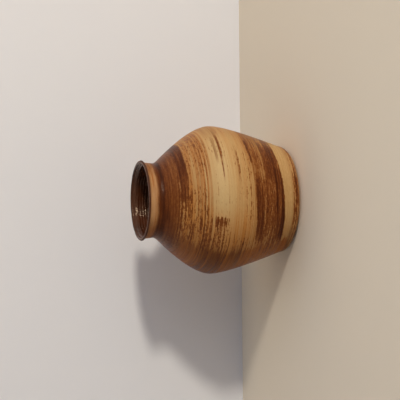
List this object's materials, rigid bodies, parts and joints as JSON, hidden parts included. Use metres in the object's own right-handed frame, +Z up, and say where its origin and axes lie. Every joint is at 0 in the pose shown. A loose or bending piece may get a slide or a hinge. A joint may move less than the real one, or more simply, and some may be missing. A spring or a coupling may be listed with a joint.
{
  "type": "hanging wall vase",
  "caption": "Thrown stoneware wall vase with brushed iron bands, hung by keyholes in its foot on studs of a hidden wall plate; its mouth points into the room.",
  "frame": {"origin": "on the wall plane, where the axis of the pot meets it: a point of the wall plate's back face", "axes": "+Y into the wall along the pot's axis, +Z up, mouth of the pot towards -Y"},
  "size_m": [0.147, 0.15, 0.147],
  "materials": {
    "glazed_stoneware": "satin tan glaze with dry-brushed iron-brown bands, glossy dark brown inside",
    "zinc_steel": "zinc plated, satin",
    "stud_steel": "turned, bright",
    "turned_aluminium": "turned, satin",
    "black_rubber": "matt",
    "stainless_steel": "plain stainless, satin"
  },
  "bodies": {
    "wall_bracket": {"wall_plate": "zinc_steel", "hanging_studs": "stud_steel"},
    "vase": {"vase_body": "glazed_stoneware", "hanger_plate": "zinc_steel", "spacer_bush": "turned_aluminium", "foot_gasket": "black_rubber", "clamp_bolt": "stainless_steel", "inner_seal_washer": "black_rubber", "inner_washer": "stainless_steel", "cap_nut": "stainless_steel"}
  },
  "joints": [
    {"name": "lift_off", "type": "slide", "parent": "wall_bracket", "child": "vase", "axis": [0, 0, 1], "range_m": [0, 0.009]}
  ]
}
